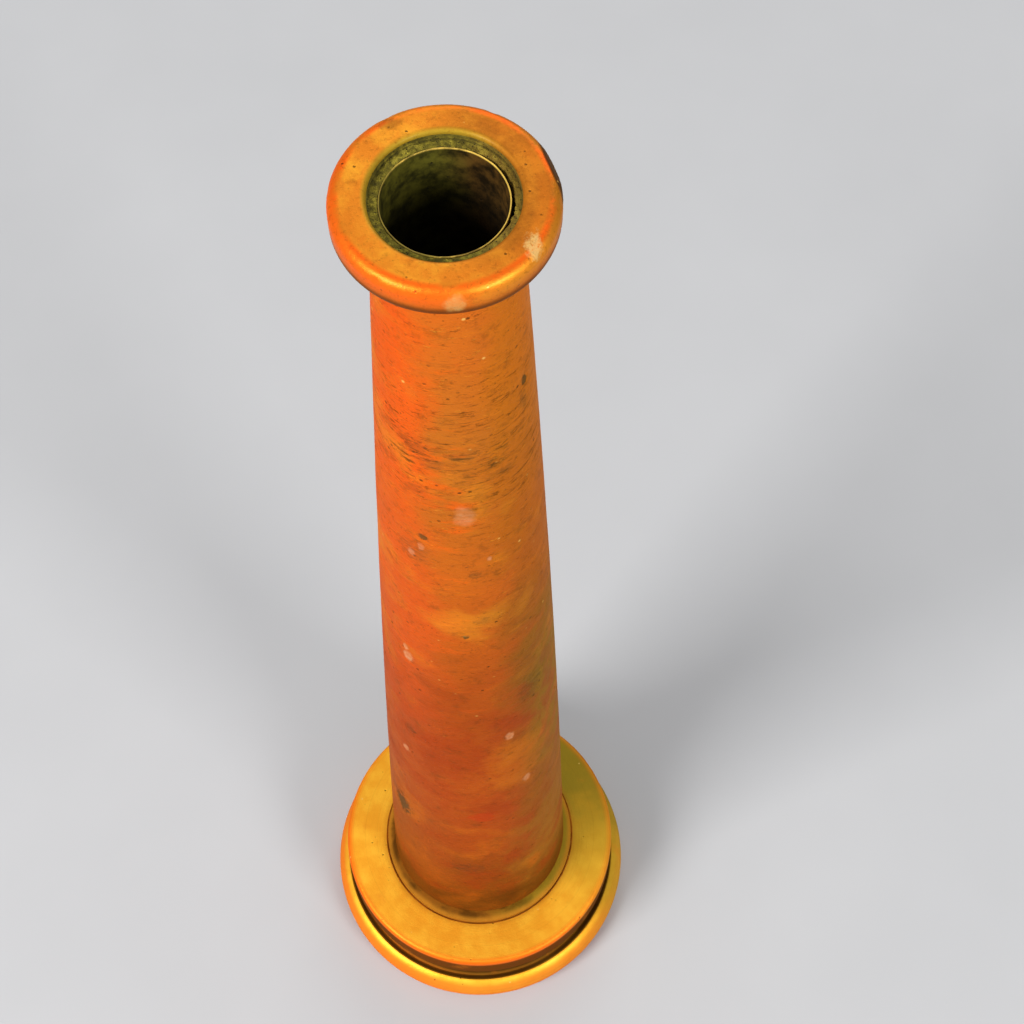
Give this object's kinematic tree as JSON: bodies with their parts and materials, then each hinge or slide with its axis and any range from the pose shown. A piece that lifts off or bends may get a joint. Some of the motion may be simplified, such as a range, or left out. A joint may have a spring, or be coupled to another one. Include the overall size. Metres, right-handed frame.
{
  "type": "fire hose nozzle",
  "caption": "Tapered brass fire hose nozzle with a beaded tip and a free-turning threaded hose coupling.",
  "frame": {"origin": "centre of the coupling's lower face, which the nozzle stands on", "axes": "+Z along the nozzle's axis from the hose end to the tip; +Y towards the ball port screw"},
  "size_m": [0.0634, 0.0634, 0.254],
  "materials": {
    "barrel_brass": "aged, semi-gloss",
    "tip_brass": "aged, semi-gloss",
    "sleeve_brass": "dull, verdigris",
    "tail_brass": "aged, satin",
    "coupling_brass": "aged, satin",
    "screw_brass": "dull",
    "ball_bronze": "polished",
    "gasket_rubber": "matte"
  },
  "bodies": {
    "nozzle": {"barrel": "barrel_brass", "tip_ring": "tip_brass", "outlet_sleeve": "sleeve_brass", "tailpiece": "tail_brass"},
    "swivel": {"swivel_coupling": "coupling_brass", "ball_port_screw": "screw_brass", "hose_gasket": "gasket_rubber"},
    "ball_row": {"swivel_ball_01": "ball_bronze", "swivel_ball_02": "ball_bronze", "swivel_ball_03": "ball_bronze", "swivel_ball_04": "ball_bronze", "swivel_ball_05": "ball_bronze", "swivel_ball_06": "ball_bronze", "swivel_ball_07": "ball_bronze", "swivel_ball_08": "ball_bronze", "swivel_ball_09": "ball_bronze", "swivel_ball_10": "ball_bronze", "swivel_ball_11": "ball_bronze", "swivel_ball_12": "ball_bronze", "swivel_ball_13": "ball_bronze", "swivel_ball_14": "ball_bronze", "swivel_ball_15": "ball_bronze", "swivel_ball_16": "ball_bronze", "swivel_ball_17": "ball_bronze", "swivel_ball_18": "ball_bronze", "swivel_ball_19": "ball_bronze", "swivel_ball_20": "ball_bronze", "swivel_ball_21": "ball_bronze", "swivel_ball_22": "ball_bronze", "swivel_ball_23": "ball_bronze", "swivel_ball_24": "ball_bronze", "swivel_ball_25": "ball_bronze", "swivel_ball_26": "ball_bronze", "swivel_ball_27": "ball_bronze", "swivel_ball_28": "ball_bronze", "swivel_ball_29": "ball_bronze", "swivel_ball_30": "ball_bronze", "swivel_ball_31": "ball_bronze", "swivel_ball_32": "ball_bronze", "swivel_ball_33": "ball_bronze", "swivel_ball_34": "ball_bronze", "swivel_ball_35": "ball_bronze", "swivel_ball_36": "ball_bronze", "swivel_ball_37": "ball_bronze", "swivel_ball_38": "ball_bronze"}
  },
  "joints": [
    {"name": "swivel_spin", "type": "hinge", "parent": "nozzle", "child": "swivel", "pos_m": [0, 0, 0.0173], "axis": [0, 0, 1], "continuous": true},
    {"name": "ball_row_roll", "type": "hinge", "parent": "nozzle", "child": "ball_row", "pos_m": [0, 0, 0.0173], "axis": [0, 0, 1], "continuous": true}
  ],
  "couplings": [
    {"joint": "ball_row_roll", "follows": "swivel_spin", "ratio": 0.5}
  ]
}
